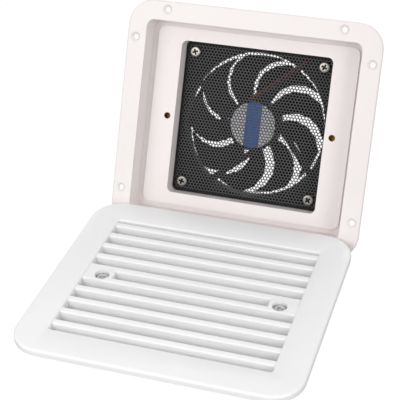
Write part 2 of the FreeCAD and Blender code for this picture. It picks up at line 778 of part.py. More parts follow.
def blade_section(distance):
    """The wire of a blade's section, on a plane at this distance from the shaft.

    The blade's front edge is on its left seen from the front, and its back edge on its right.
    """
    span = blade_tip - rotor_radius
    edge_radius = distance / math.cos(math.radians(blade_pitch / 2 * 0.8))
    out = max(edge_radius - rotor_radius, 0) / span
    gap = size("blade_gap_root") + (size("blade_gap_tip") - size("blade_gap_root")) * out
    width = math.radians(blade_pitch) - gap / edge_radius
    angle = math.radians(size("blade_phase") - size("blade_sweep") * out ** size("blade_sweep_power"))
    along = FreeCAD.Vector(math.cos(angle), math.sin(angle), 0)
    side = FreeCAD.Vector(-math.sin(angle), math.cos(angle), 0)
    half = distance * math.tan(width / 2)
    front = size(fan_height("blade_front"))
    back = size(f"{FAN_BACK} + blade_set")
    chord = FreeCAD.Vector(2 * half, front - back, 0).normalize()
    normal = FreeCAD.Vector(chord.y, -chord.x, 0)
    thick = size("blade_thick") / 2

    def place(s, z, offset):
        return along * distance + side * (s + normal.x * offset) + Z_AXIS * (z + normal.y * offset)

    middle = (front + back) / 2
    camber = size("blade_camber")
    outer = Part.Arc(place(half, front, thick), place(0, middle, camber + thick), place(-half, back, thick))
    inner = Part.Arc(place(-half, back, -thick), place(0, middle, camber - thick), place(half, front, -thick))
    rear_end = Part.LineSegment(outer.EndPoint, inner.StartPoint)
    front_end = Part.LineSegment(inner.EndPoint, outer.StartPoint)
    return Part.Wire([item.toShape() for item in (outer, rear_end, inner, front_end)])


root = rotor_radius - size("rotor_wall") + 0.2
stations = round(size("blade_stations"))
distances = [root + (blade_tip - root) * step / (stations - 1) for step in range(stations)]
blade = Part.makeLoft([blade_section(distance) for distance in distances], True, True)
sweep_space = Part.makeCylinder(blade_tip, size("fan_depth"), Z_AXIS * size(FAN_BACK))
blade = blade.common(sweep_space)
blades = []
for number in range(round(size("blade_count"))):
    copy = blade.copy()
    copy.rotate(ORIGIN, Z_AXIS, number * blade_pitch)
    blades.append(copy)
doc.recompute()
impeller = doc.addObject("Part::Feature", "impeller")
impeller.Shape = rotor_hub.Shape.multiFuse(blades).Solids[0]

# Leads: red and black wires from the board, along a strut, through the fan's corner to the connector

strut_turn = math.radians(size("strut_angle"))
strut_along = FreeCAD.Vector(math.cos(strut_turn), math.sin(strut_turn), 0)
strut_side = FreeCAD.Vector(-math.sin(strut_turn), math.cos(strut_turn), 0)


def rounded_path(points, radius):
    """Straight runs joined by tangent arcs of one radius."""
    edges = []
    start = points[0]
    for before, corner, after in zip(points, points[1:], points[2:]):
        back = (before - corner).normalize()
        ahead = (after - corner).normalize()
        half_angle = math.acos(max(-1, min(1, back.dot(ahead)))) / 2
        trim = radius / math.tan(half_angle)
        bisector = (back + ahead).normalize()
        centre = corner + bisector * (radius / math.sin(half_angle))
        first = corner + back * trim
        last = corner + ahead * trim
        edges.append(Part.LineSegment(start, first).toShape())
        edges.append(Part.Arc(first, centre - bisector * radius, last).toShape())
        start = last
    edges.append(Part.LineSegment(start, points[-1]).toShape())
    return Part.Wire(edges)


def lead(name, side):
    """One lead: its own half of the strut's channel and of the corner's hole."""
    offset = strut_side * (size(STRUT_OFFSET) + size("lead_pitch") / 2 * side)
    front = Z_AXIS * size(f"{FAN_FRONT} - strut_set + lead_radius")
    start = strut_along * size("lead_start") + offset
    corner = strut_along * size(LEAD_RUN) + offset
    path = rounded_path([start + front, corner + front, corner + Z_AXIS * size(DUCT_BACK)], size("lead_bend"))
    profile = Part.Wire(Part.makeCircle(size("lead_radius"), start + front, strut_along))
    feature = doc.addObject("Part::Feature", name)
    feature.Shape = path.makePipeShell([profile], True, False)
    return feature


lead_red = lead("lead_red", 1)
lead_black = lead("lead_black", -1)

lead_connector = add_body("lead_connector")
sketch = add_sketch(lead_connector, at=DUCT_BACK)
rounded_box(sketch, "plug_width / 2", "plug_height / 2", "plug_corner", *LEAD_EXIT)
pad(lead_connector, sketch, "plug_length")

# Louvre cover: a shallow cap that laps over the flange, with a frame of slats in its window

COVER_TOP = "(pocket_depth - nest_gap + cover_skin)"
LAP_BOTTOM = "(pocket_depth - nest_gap - flange_thick)"
SLAT_TOP = "(pocket_depth - nest_gap + cover_skin - slat_drop)"
COVER_X = f"({HALF_FLANGE_X} + cover_lap)"
COVER_Y = f"({HALF_FLANGE_Y} + cover_lap)"
HALF_WINDOW_X = f"({HALF_MOUTH_X} - louvre_gap_x - louvre_wall)"
HALF_WINDOW_Y = f"({HALF_MOUTH_Y} - louvre_gap_y - louvre_wall)"
SLAT_PITCH = f"((2 * {HALF_WINDOW_Y} - 2 * slat_end_gap - slat_top) / (slat_count - 1))"
FIRST_SLAT = f"({HALF_WINDOW_Y} - slat_end_gap)"

louvre_cover = add_body("louvre_cover")
outline = add_sketch(louvre_cover, at=LAP_BOTTOM)
rounded_box(outline, COVER_X, COVER_Y, "flange_corner + cover_lap")
cap = pad(louvre_cover, outline, "cover_skin + flange_thick", up=True)
round_edges(
    louvre_cover, cap, "cover_round", lambda edge: flat_at(edge, size(COVER_TOP)))
inside = add_sketch(louvre_cover, at=LAP_BOTTOM)
rounded_box(inside, f"{HALF_FLANGE_X} + lap_gap", f"{HALF_FLANGE_Y} + lap_gap", "flange_corner + lap_gap")
cut(louvre_cover, inside, "flange_thick", up=True)
outline = add_sketch(louvre_cover)
rounded_box(outline, f"{HALF_WINDOW_X} + louvre_wall", f"{HALF_WINDOW_Y} + louvre_wall", "window_corner + louvre_wall")
pad(louvre_cover, outline, f"{COVER_TOP} - cover_skin / 2", up=True)
window = add_sketch(louvre_cover, at=COVER_TOP)
rounded_box(window, HALF_WINDOW_X, HALF_WINDOW_Y, "window_corner")
window_cut = cut(louvre_cover, window)
round_edges(
    louvre_cover, window_cut, "window_round",
    lambda edge: flat_at(edge, size(COVER_TOP)) and within(edge, size(HALF_WINDOW_X), size(HALF_WINDOW_Y)))

slat = add_sketch(louvre_cover, "YZ_Plane", at=f"-{HALF_WINDOW_X} - louvre_wall / 2")
polygon(slat, [
    (FIRST_SLAT, SLAT_TOP),
    (f"{FIRST_SLAT} - slat_top", SLAT_TOP),
    (f"{FIRST_SLAT} - slat_foot + slat_lean", "slat_clear"),
    (f"{FIRST_SLAT} + slat_lean", "slat_clear"),
])
slat_pad = pad(louvre_cover, slat, f"2 * {HALF_WINDOW_X} + louvre_wall", up=True)
front_edge = size(f"{FIRST_SLAT} - slat_top")
slat_round = round_edges(
    louvre_cover, slat_pad, "slat_round",
    lambda edge: flat_at(edge, size(SLAT_TOP)) and abs(edge.BoundBox.YMax - front_edge) < 0.01
    and abs(edge.BoundBox.YMin - front_edge) < 0.01)
slats = louvre_cover.newObject("PartDesign::LinearPattern", "LinearPattern")
slats.Originals = [slat_pad, slat_round]
slats.Direction = (origin_part(louvre_cover, "Y_Axis"), [""])
slats.Reversed = True
bind(slats, "Length", f"{SLAT_PITCH} * (slat_count - 1)")
bind(slats, "Occurrences", "slat_count")
louvre_cover.Tip = slats

bosses = add_sketch(louvre_cover, at=SLAT_TOP)
boss_radius = "(cover_bolt_head + cover_bore_gap + cover_boss_wall)"
boss_half = f"(({HALF_WINDOW_X} + louvre_wall / 2 - {COVER_SCREW_AT} + {boss_radius}) / 2)"
for sign in (1, -1):
    rounded_box(bosses, boss_half, f"({SLAT_PITCH} + slat_top) / 2", f"{boss_radius} - boss_flat",
                f"{sign} * ({COVER_SCREW_AT} - {boss_radius} + {boss_half})")
pad(louvre_cover, bosses, f"{SLAT_TOP} - slat_clear")
bores = add_sketch(louvre_cover, at=SLAT_TOP)
side_circles(bores, "cover_bolt_head + cover_bore_gap")
cut(louvre_cover, bores, f"{SLAT_TOP} - cover_seat")
bores = add_sketch(louvre_cover, at="cover_seat")
side_circles(bores, "cover_bolt + cover_hole_gap")
cut(louvre_cover, bores)

# Cover screws: two pan heads that stand in the cover's bores with their points just off the ground

cover_screws = add_body("cover_screws")
shanks = add_sketch(cover_screws, at="ground_gap")
side_circles(shanks, "cover_bolt")
pad(cover_screws, shanks, "cover_bolt_length", up=True)
heads = add_sketch(cover_screws, at="ground_gap + cover_bolt_length")
side_circles(heads, "cover_bolt_head")
pad(cover_screws, heads, "cover_bolt_head_tall", up=True)
bevel_edges(
    cover_screws, cover_screws.Tip, "cover_bolt_head_tall * 0.5",
    lambda edge: flat_at(edge, size("ground_gap + cover_bolt_length + cover_bolt_head_tall")))

doc.recompute()

# Places: the base leans back until its duct meets the ground, and the cover lies in front of its flange

base_group = [
    base_frame, threaded_inserts, filter_frame, filter_mesh, fan_screws, fan_housing, hub_label, bearing_tube,
    sleeve_bearing, thrust_washer, shaft, retaining_clip, circuit_board, stator_core, coils, rotor_cup,
    magnet_ring, impeller, lead_red, lead_black, lead_connector,
]
cover_group = [louvre_cover, cover_screws]

duct_back = -size(DUCT_BACK)
lean = math.atan2(size(f"{HALF_FLANGE_Y} - {HALF_DUCT}"), duct_back - size("flange_thick"))
flange_foot = size(HALF_FLANGE_Y) * math.cos(lean) + size("flange_thick") * math.sin(lean)
lap_bottom = size(LAP_BOTTOM)
face_at_lap = (lap_bottom - flange_foot) * math.tan(lean)
cover_middle = face_at_lap - size("rest_gap") - size(COVER_Y)

base_place = FreeCAD.Placement(Z_AXIS * flange_foot, FreeCAD.Rotation(X_AXIS, 90 - math.degrees(lean)))
cover_place = FreeCAD.Placement(FreeCAD.Vector(-size("cover_shift"), cover_middle, 0), FreeCAD.Rotation())

for group, place in ((base_group, base_place), (cover_group, cover_place)):
    for piece in group:
        piece.Placement = place
everything = Part.makeCompound([piece.Shape for piece in base_group + cover_group])
whole = everything.optimalBoundingBox(False, False)
centre_up = FreeCAD.Placement(
    FreeCAD.Vector(-(whole.XMin + whole.XMax) / 2, -(whole.YMin + whole.YMax) / 2, 0), FreeCAD.Rotation())
for group, place in ((base_group, base_place), (cover_group, cover_place)):
    for piece in group:
        piece.Placement = centre_up.multiply(place)
doc.recompute()

# Check every object, then write one file for each piece

for thing in doc.Objects:
    if "Invalid" in thing.State or "Error" in thing.State:
        raise RuntimeError(f"{thing.Label} did not compute: {thing.State}")
for piece in base_group + cover_group:
    if piece.Shape.isNull() or not piece.Shape.isValid() or not piece.Shape.Solids:
        raise RuntimeError(f"{piece.Label} has no valid solid")

os.makedirs("parts", exist_ok=True)
for piece in base_group + cover_group:
    piece.Shape.exportStep(f"parts/{piece.Label}.step")
    print(piece.Label, len(piece.Shape.Solids), round(piece.Shape.Volume))

whole = Part.makeCompound([piece.Shape for piece in base_group + cover_group]).optimalBoundingBox(False, False)
print("lean", round(math.degrees(lean), 3))
print("size", round(whole.XLength, 3), round(whole.YLength, 3), round(whole.ZLength, 3))
print("base place", base_frame.Placement.Base, "cover place", louvre_cover.Placement.Base)
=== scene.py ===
import json
import math

import bmesh
import bpy
from mathutils import Matrix, Vector


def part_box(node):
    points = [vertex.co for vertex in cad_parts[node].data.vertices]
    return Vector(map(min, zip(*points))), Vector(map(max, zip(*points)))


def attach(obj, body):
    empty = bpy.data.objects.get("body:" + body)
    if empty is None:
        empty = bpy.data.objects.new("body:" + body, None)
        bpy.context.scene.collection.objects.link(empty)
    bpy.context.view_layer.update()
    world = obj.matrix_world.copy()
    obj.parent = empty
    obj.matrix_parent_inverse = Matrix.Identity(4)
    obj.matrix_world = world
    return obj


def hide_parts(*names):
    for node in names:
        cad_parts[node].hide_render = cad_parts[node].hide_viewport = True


# A vent fan for the side wall of a camper, at rest: its cover lies on the ground with its outside up,
# and its base stands behind the cover and leans back, with the fan behind a black mesh.

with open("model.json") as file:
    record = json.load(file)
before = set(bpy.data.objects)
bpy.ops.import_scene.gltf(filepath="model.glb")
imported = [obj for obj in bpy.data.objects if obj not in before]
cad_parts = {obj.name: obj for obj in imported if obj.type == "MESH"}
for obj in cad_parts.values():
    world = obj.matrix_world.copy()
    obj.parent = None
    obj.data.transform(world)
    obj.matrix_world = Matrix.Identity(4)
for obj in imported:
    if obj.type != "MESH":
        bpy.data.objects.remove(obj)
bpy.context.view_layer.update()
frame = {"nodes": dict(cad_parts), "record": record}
nodes = frame["nodes"]

# Camera: it stands to the right of the part and above it, and sees the base and the cover in one view.
# Its turn is in degrees, and its lens and film are in millimetres.

camera_place = (0.22548, -0.70215, 0.54562)
camera_turn = (56.5402, 1.2774, 17.7036)
camera_lens = 107.8
camera_film = 36

camera_data = bpy.data.cameras.new("camera")
camera_data.lens = camera_lens
camera_data.sensor_width = camera_film
camera = bpy.data.objects.new("camera", camera_data)
camera.location = camera_place
camera.rotation_euler = [math.radians(angle) for angle in camera_turn]
bpy.context.collection.objects.link(camera)
bpy.context.scene.camera = camera

# Base moulding: warm white ABS, moulded in one piece on a polished tool. Its surface has a fine eggshell
# grain and slow changes of tint and gloss, and painted shade darkens its inner corners.

base_white = (0.835, 0.785, 0.775)
drift_scale = 14
gloss_drift = 0.05
# Painted shade in the plastic's corners: its reach in metres, and its darkest colour as a share of the
# plastic's.
corner_shade_reach = 0.006
corner_shade_tone = 0.6


def start_material(name):
    """A new material, with its node tree and its shader."""
    material = bpy.data.materials.new(name)
    material.use_nodes = True
    return material, material.node_tree, material.node_tree.nodes["Principled BSDF"]


def add_noise(tree, scale, detail):
    """Noise that stays with the object, as a value from 0 to 1."""
    place = tree.nodes.new("ShaderNodeTexCoord")
    noise = tree.nodes.new("ShaderNodeTexNoise")
    noise.inputs["Scale"].default_value = scale
    noise.inputs["Detail"].default_value = detail
    tree.links.new(place.outputs["Object"], noise.inputs["Vector"])
    return noise.outputs["Fac"]


def add_relief(tree, shader, height, depth, strength):
    """Fine relief that follows a height from 0 to 1, with its depth in metres."""
    bump = tree.nodes.new("ShaderNodeBump")
    bump.inputs["Distance"].default_value = depth
    bump.inputs["Strength"].default_value = strength
    tree.links.new(height, bump.inputs["Height"])
    tree.links.new(bump.outputs["Normal"], shader.inputs["Normal"])


def add_tones(tree, value, colour, darkest, lightest):
    """The colour times a share that goes from the darkest to the lightest as the value rises."""
    tones = tree.nodes.new("ShaderNodeMix")
    tones.data_type = "RGBA"
    tones.inputs["A"].default_value = (*[part * darkest for part in colour], 1)
    tones.inputs["B"].default_value = (*[min(1, part * lightest) for part in colour], 1)
    tree.links.new(value, tones.inputs["Factor"])
    return tones.outputs["Result"]


def add_painted_shade(tree, tone, shade_colour, amount, reach, shut, clear):
    """Painted shade on the tone where other faces are within reach: full where shut in, none where clear.
    """
    corners = tree.nodes.new("ShaderNodeAmbientOcclusion")
    corners.inputs["Distance"].default_value = reach
    share = tree.nodes.new("ShaderNodeMapRange")
    share.inputs["From Min"].default_value = shut
    share.inputs["From Max"].default_value = clear
    share.inputs["To Min"].default_value = amount
    share.inputs["To Max"].default_value = 0
    tree.links.new(corners.outputs["AO"], share.inputs["Value"])
    shaded = tree.nodes.new("ShaderNodeMix")
    shaded.data_type = "RGBA"
    shaded.inputs["B"].default_value = (*shade_colour, 1)
    tree.links.new(share.outputs["Result"], shaded.inputs["Factor"])
    tree.links.new(tone, shaded.inputs["A"])
    return shaded.outputs["Result"]


def add_gloss(tree, shader, value, smoothest, roughest):
    """Roughness that goes from the smoothest to the roughest as the value rises."""
    rough = tree.nodes.new("ShaderNodeMapRange")
    rough.inputs["To Min"].default_value = smoothest
    rough.inputs["To Max"].default_value = roughest
    tree.links.new(value, rough.inputs["Value"])
    tree.links.new(rough.outputs["Result"], shader.inputs["Roughness"])


def moulded_plastic(name, colour, gloss, grain, depth, tint=0.03, corner_shade=0, sheen=0.5):
    """Plastic with grain of a size and depth in metres, slow changes of tint and gloss, and painted shade.
    """
    material, tree, shader = start_material(name)
    shader.inputs["Specular IOR Level"].default_value = sheen
    add_relief(tree, shader, add_noise(tree, 1 / grain, detail=3), depth, strength=0.5)
    drift = add_noise(tree, drift_scale, detail=2)
    tone = add_tones(tree, drift, colour, 1 - tint, 1 + tint)
    if corner_shade:
        shaded_colour = [part * corner_shade_tone for part in colour]
        tone = add_painted_shade(tree, tone, shaded_colour, corner_shade, corner_shade_reach, shut=0.25, clear=0.8)
    tree.links.new(tone, shader.inputs["Base Color"])
    add_gloss(tree, shader, drift, gloss - gloss_drift, gloss + gloss_drift)
    return material


def finish_node(node, material):
    """Give a solid of the frame its material."""
    for slot in nodes[node].material_slots:
        slot.material = material


# Painted shade darkens the base's inner corners.
base_plastic = moulded_plastic("base white plastic", base_white, gloss=0.42, grain=0.0011, depth=0.00004,
                               corner_shade=0.15)
finish_node("base_frame", base_plastic)

# Fan housing and impeller: black glass-filled plastic with a satin face. The frame is moulded with its
# hub plate and struts, and the impeller with its nine blades.

fan_black = (0.005, 0.005, 0.0055)

fan_plastic = moulded_plastic("fan black plastic", fan_black, gloss=0.5, grain=0.0009, depth=0.00002,
                              tint=0.12, sheen=0.06)
for node in ("fan_housing", "impeller"):
    finish_node(node, fan_plastic)

# Filter frame: the thin black plastic frame behind the mesh, moulded with a screw eye in each corner.
# It shows only through the mesh's holes, as the deep black behind them.

filter_black = (0.004, 0.004, 0.0045)

filter_plastic = moulded_plastic("filter black plastic", filter_black, gloss=0.5, grain=0.0012,
                                 depth=0.00002, tint=0.1, sheen=0.03)
finish_node("filter_frame", filter_plastic)

# Filter mesh: a thin black sheet, punched all over with round holes in staggered rows, and painted.
# One cell with its hole is shaped, set out in rows, trimmed to the sheet's size and given its thickness.

hole_pitch = 0.0026
hole_radius = 0.001
hole_sides = 12
outer_share = 1.2
turn_slack = 0.1
screen_thick = 0.0004
screen_margin = 0.0012
weld_gap = 0.00005
mesh_grey = (0.066, 0.066, 0.068)

spin = next(joint for joint in frame["record"]["behaviour"]["joints"] if joint["name"] == "rotor_spin")
face_out = Vector(spin["axis"])
face_up = face_out.cross(Vector((1, 0, 0)))
to_base = Matrix.Translation(spin["pos_m"]) @ Matrix(((1, 0, 0), face_up, face_out)).transposed().to_4x4()


def base_corners(node):
    """A node's lowest and highest corners in the base's own frame: X right, Y up its face, Z out of it."""
    inward = to_base.inverted()
    points = [inward @ vertex.co for vertex in nodes[node].data.vertices]
    return [Vector([bound(point[axis] for point in points) for axis in range(3)]) for bound in (min, max)]


def select_by(piece, kind, chosen):
    """Select only the faces, edges or vertices of a piece that the test chooses, in Edit mode."""
    bpy.ops.mesh.select_mode(type=kind)
    bpy.ops.mesh.select_all(action="DESELECT")
    mesh = bmesh.from_edit_mesh(piece.data)
    parts = {"VERT": mesh.verts, "EDGE": mesh.edges, "FACE": mesh.faces}[kind]
    for part in parts:
        part.select_set(chosen(part))
    mesh.select_flush_mode()
    bmesh.update_edit_mesh(piece.data)


def apply_modifier(piece, kind, **settings):
    """Add a modifier to a piece and apply it."""
    modifier = piece.modifiers.new(kind.lower(), kind)
    for name, value in settings.items():
        setattr(modifier, name, value)
    bpy.ops.object.modifier_apply(modifier=modifier.name)


def settle(piece, name, node, material, body="base", place=to_base):
    """Put a finished piece in its place, with that place in its mesh, and let it stand for its node."""
    piece.name = name
    piece.matrix_world = place @ piece.matrix_world
    bpy.ops.object.select_all(action="DESELECT")
    piece.select_set(True)
    bpy.context.view_layer.objects.active = piece
    bpy.ops.object.transform_apply(location=True, rotation=True, scale=True)
    piece.data.materials.clear()
    piece.data.materials.append(material)
    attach(piece, body)
    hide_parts(node)


def on_flat(vertex):
    """True for an outer point of the cell that belongs in the middle of one of its six sides."""
    sixths = math.atan2(vertex.co.y, vertex.co.x) / math.radians(60)
    return vertex.co.length > hole_radius * outer_share and abs(sixths - round(sixths)) < turn_slack


def past_margin(face):
    """True for a face of the sheet whose middle is too near its edge."""
    middle = face.calc_center_median()
    return max(abs(middle.x), abs(middle.y)) > sheet_half - screen_margin


sheet_low, sheet_high = base_corners("filter_mesh")
sheet_half = sheet_high.x
sheet_middle = (sheet_low.z + sheet_high.z) / 2
row_gap = hole_pitch * math.sqrt(3) / 2
columns = int(2 * sheet_half / hole_pitch) + 2
row_pairs = int(sheet_half / row_gap) + 2
cell_growth = hole_pitch / math.sqrt(3) / hole_radius
flat_share = math.cos(math.radians(30))

bpy.ops.object.select_all(action="DESELECT")
bpy.ops.mesh.primitive_circle_add(vertices=hole_sides, radius=hole_radius, fill_type="NOTHING")
screen = bpy.context.object
bpy.ops.object.mode_set(mode="EDIT")
bpy.ops.mesh.extrude_edges_move()
bpy.ops.transform.resize(value=(cell_growth, cell_growth, 1))
select_by(screen, "VERT", on_flat)
bpy.ops.transform.resize(value=(flat_share, flat_share, 1))
bpy.ops.object.mode_set(mode="OBJECT")
fixed_steps = {"use_relative_offset": False, "use_constant_offset": True}
welds = {"use_merge_vertices": True, "merge_threshold": weld_gap}
for count, step in ((2, (hole_pitch / 2, row_gap, 0)),
                    (columns, (hole_pitch, 0, 0)),
                    (row_pairs, (0, 2 * row_gap, 0))):
    apply_modifier(screen, "ARRAY", count=count, constant_offset_displace=step, **fixed_steps, **welds)
screen.location = (-columns * hole_pitch / 2, -row_pairs * row_gap, sheet_middle)
bpy.ops.object.transform_apply(location=True, rotation=False, scale=False)
bpy.ops.object.mode_set(mode="EDIT")
bpy.ops.mesh.select_all(action="SELECT")
bpy.ops.mesh.remove_doubles(threshold=weld_gap)
select_by(screen, "FACE", past_margin)
bpy.ops.mesh.delete(type="FACE")
bpy.ops.object.mode_set(mode="OBJECT")
apply_modifier(screen, "SOLIDIFY", thickness=screen_thick, offset=0)
mesh_paint = moulded_plastic("mesh black paint", mesh_grey, gloss=0.5, grain=0.0008, depth=0.00001,
                             tint=0.15, sheen=0.2)
settle(screen, "punched_screen", "filter_mesh", mesh_paint)

# Rim of the mesh: the sheet's own edge, left without holes and folded over to twice its thickness, which
# holds the punched sheet flat. It's painted black with the sheet, and no light comes through it.

# The rim's black is deeper than the sheet's: partly its own paint, partly painted shade of the gap at the
# bay's edge.
rim_black_and_shade = (0.016, 0.016, 0.017)
rim_width = 0.002
rim_corner = 0.0045
rim_round = 0.00025

bpy.ops.object.select_all(action="DESELECT")
bpy.ops.mesh.primitive_plane_add(size=2 * sheet_half, location=(0, 0, sheet_middle))
rim = bpy.context.object
bpy.ops.object.mode_set(mode="EDIT")
bpy.ops.mesh.bevel(offset=rim_corner, segments=8, affect="VERTICES")
bpy.ops.mesh.inset(thickness=rim_width)
bpy.ops.mesh.delete(type="FACE")
bpy.ops.object.mode_set(mode="OBJECT")
apply_modifier(rim, "SOLIDIFY", thickness=sheet_high.z - sheet_low.z, offset=0)
apply_modifier(rim, "BEVEL", width=rim_round, segments=2, limit_method="ANGLE")
rim_paint_and_shade = moulded_plastic("rim black paint", rim_black_and_shade, gloss=0.5, grain=0.0008, depth=0.00001,
                            tint=0.15, sheen=0.1)
settle(rim, "screen_rim", "filter_mesh", rim_paint_and_shade)

# Fan screws: stainless pan heads with a cross recess, one in each corner, which clamp the mesh and the fan.
# One is turned, rounded, recessed and smoothed, and the others are copies of it. Its rounding and its cross
# are shares of its height and radii, and the cross narrows towards its bottom.

screw_reach = 0.0525
screw_head = 0.0045
screw_shank = 0.0019
screw_recess = 0.0022
steel_colour = (0.23, 0.22, 0.205)
head_round = 0.5
tip_round = 0.3
cross_length = 1.3
cross_width = 0.4
cross_taper = 0.6
mark_dark = 0.8
mark_light = 1.12
gloss_polish = 0.08
gloss_wear = 0.1
# The darkest colour of the painted shade in a metal's recesses, as a share of the metal's colour.
recess_shade_tone = 0.06
straight = 0.9


def worked_metal(name, colour, gloss, grain, depth, metal=1, recess_shade=0, reach=0.0024):
    """Metal with fine irregular tool marks, a little uneven gloss, and painted shade in its recesses."""
    material, tree, shader = start_material(name)
    shader.inputs["Metallic"].default_value = metal
    marks = add_noise(tree, 1 / grain, detail=5)
    add_relief(tree, shader, marks, depth, strength=0.4)
    tone = add_tones(tree, marks, colour, mark_dark, mark_light)
    if recess_shade:
        recess_colour = [part * recess_shade_tone for part in colour]
        tone = add_painted_shade(tree, tone, recess_colour, recess_shade, reach, shut=0.6, clear=0.94)
    tree.links.new(tone, shader.inputs["Base Color"])
    add_gloss(tree, shader, marks, gloss - gloss_polish, gloss + gloss_wear)
    return material


def faces_up(face):
    """True for a face that looks straight up."""
    return face.normal.z > straight


def faces_down(face):
    """True for a face that looks straight down."""
    return face.normal.z < -straight


def combine(piece, tool, operation):
    """Join a tool to a piece or cut it out of it, and drop the tool."""
    bpy.ops.object.select_all(action="DESELECT")
    piece.select_set(True)
    bpy.context.view_layer.objects.active = piece
    apply_modifier(piece, "BOOLEAN", object=tool, operation=operation, solver="EXACT")
    bpy.data.objects.remove(tool)


def recessed_screw(head, tall, shank, length, recess):
    """A pan head screw with a cross recess. Its head sits on the ground plane, with its shank below."""
    bpy.ops.object.select_all(action="DESELECT")
    bpy.ops.mesh.primitive_cylinder_add(vertices=48, radius=head, depth=tall, location=(0, 0, tall / 2))
    screw = bpy.context.object
    bpy.ops.object.transform_apply(location=True, rotation=False, scale=False)
    bpy.ops.object.mode_set(mode="EDIT")
    select_by(screw, "FACE", faces_up)
    bpy.ops.mesh.bevel(offset=tall * head_round, segments=6)
    select_by(screw, "FACE", faces_down)
    bpy.ops.mesh.inset(thickness=head - shank)
    bpy.ops.mesh.extrude_region_move(TRANSFORM_OT_translate={"value": (0, 0, -length)})
    bpy.ops.mesh.bevel(offset=shank * tip_round, segments=2)
    bpy.ops.object.mode_set(mode="OBJECT")
    for turn in (0, 90):
        bpy.ops.object.select_all(action="DESELECT")
        bpy.ops.mesh.primitive_cube_add(size=1, location=(0, 0, tall))
        blade = bpy.context.object
        blade.scale = (head * cross_length, head * cross_width, recess * 2)
        blade.rotation_euler = (0, 0, math.radians(turn))
        bpy.ops.object.transform_apply(location=True, rotation=True, scale=True)
        bpy.ops.object.mode_set(mode="EDIT")
        select_by(blade, "FACE", faces_down)
        bpy.ops.transform.resize(value=(cross_taper, cross_taper, 1))
        bpy.ops.object.mode_set(mode="OBJECT")
        combine(screw, blade, "DIFFERENCE")
    bpy.ops.object.shade_smooth_by_angle(angle=math.radians(40))
    return screw


def place_copies(pattern, name, node, material, spots, body="base", place=to_base):
    """Set copies of a piece, each with its own mesh, at places and turns in a body's own frame."""
    for number, (spot, turn) in enumerate(spots, start=1):
        copy = pattern.copy()
        copy.data = pattern.data.copy()
        bpy.context.collection.objects.link(copy)
        copy.location = spot
        copy.rotation_euler = (0, 0, math.radians(turn))
        bpy.context.view_layer.update()
        settle(copy, f"{name}_{number}", node, material, body, place)
    bpy.data.objects.remove(pattern)


# The fan screws' steel has painted shade in its cross recesses.
stainless = worked_metal("stainless steel", steel_colour, gloss=0.3, grain=0.0005, depth=0.00002, recess_shade=1)
screw_low, screw_high = base_corners("fan_screws")
head_seat = sheet_high.z
fan_screw = recessed_screw(screw_head, screw_high.z - head_seat, screw_shank, head_seat - screw_low.z,
                           screw_recess)
corner_turns = ((-1, 1, 20), (1, 1, 62), (-1, -1, -12), (1, -1, 40))
screw_spots = [((x * screw_reach, y * screw_reach, head_seat), turn) for x, y, turn in corner_turns]
place_copies(fan_screw, "fan_screw", "fan_screws", stainless, screw_spots)

# Threaded inserts: brass bushes, pressed warm into the panel for the cover's screws. One is turned with a
# blind bore and a broken edge, and the other is its copy. Painted shade darkens their brown bores.

brass_colour = (0.26, 0.15, 0.05)
bush_bore = 0.0021
bush_floor = 0.003
bush_edge = 0.00015
# How far the painted shade in the bores reaches, in metres.
bush_shade_reach = 0.008

bush_low, bush_high = base_corners("threaded_inserts")
bush_radius = (bush_high.y - bush_low.y) / 2
bush_long = bush_high.z - bush_low.z
bush_reach = bush_high.x - bush_radius
bush_middle = (bush_low.y + bush_high.y) / 2

bpy.ops.object.select_all(action="DESELECT")
bpy.ops.mesh.primitive_cylinder_add(vertices=40, radius=bush_radius, depth=bush_long,
                                    location=(0, 0, -bush_long / 2))
bush = bpy.context.object
bpy.ops.object.transform_apply(location=True, rotation=False, scale=False)
bpy.ops.object.mode_set(mode="EDIT")
select_by(bush, "FACE", faces_up)
bpy.ops.mesh.inset(thickness=bush_radius - bush_bore)
bpy.ops.mesh.extrude_region_move(TRANSFORM_OT_translate={"value": (0, 0, bush_floor - bush_long)})
bpy.ops.object.mode_set(mode="OBJECT")
apply_modifier(bush, "BEVEL", width=bush_edge, segments=2, limit_method="ANGLE")
bpy.ops.object.shade_smooth_by_angle(angle=math.radians(40))
brass = worked_metal("insert brass", brass_colour, gloss=0.45, grain=0.0008, depth=0.00003, recess_shade=0.6,
                     reach=bush_shade_reach)
bush_spots = [((side * bush_reach, bush_middle, bush_high.z), 0) for side in (-1, 1)]
place_copies(bush, "threaded_insert", "threaded_inserts", brass, bush_spots)

# Hub label: a white paper sticker with a plain blue band down its middle, stuck over the fan's bearing.
# The band is printed where the distance from the fan's axis, left or right, is small.

label_white = (0.86, 0.87, 0.89)
label_blue = (0.006, 0.18, 0.6)
band_half = 0.0063

label = moulded_plastic("label paper", label_white, gloss=0.35, grain=0.0015, depth=0.00001)
tree = label.node_tree
shader = tree.nodes["Principled BSDF"]
paper = shader.inputs["Base Color"].links[0].from_socket
place = tree.nodes.new("ShaderNodeTexCoord")
split = tree.nodes.new("ShaderNodeSeparateXYZ")
tree.links.new(place.outputs["Object"], split.inputs["Vector"])
value = split.outputs["X"]
for operation, number in (("SUBTRACT", spin["pos_m"][0]), ("ABSOLUTE", 0), ("LESS_THAN", band_half)):
    step = tree.nodes.new("ShaderNodeMath")
    step.operation = operation
    step.inputs[1].default_value = number
    tree.links.new(value, step.inputs[0])
    value = step.outputs["Value"]
printed = tree.nodes.new("ShaderNodeMix")
printed.data_type = "RGBA"
printed.inputs["B"].default_value = (*label_blue, 1)
tree.links.new(value, printed.inputs["Factor"])
tree.links.new(paper, printed.inputs["A"])
tree.links.new(printed.outputs["Result"], shader.inputs["Base Color"])
finish_node("hub_label", label)

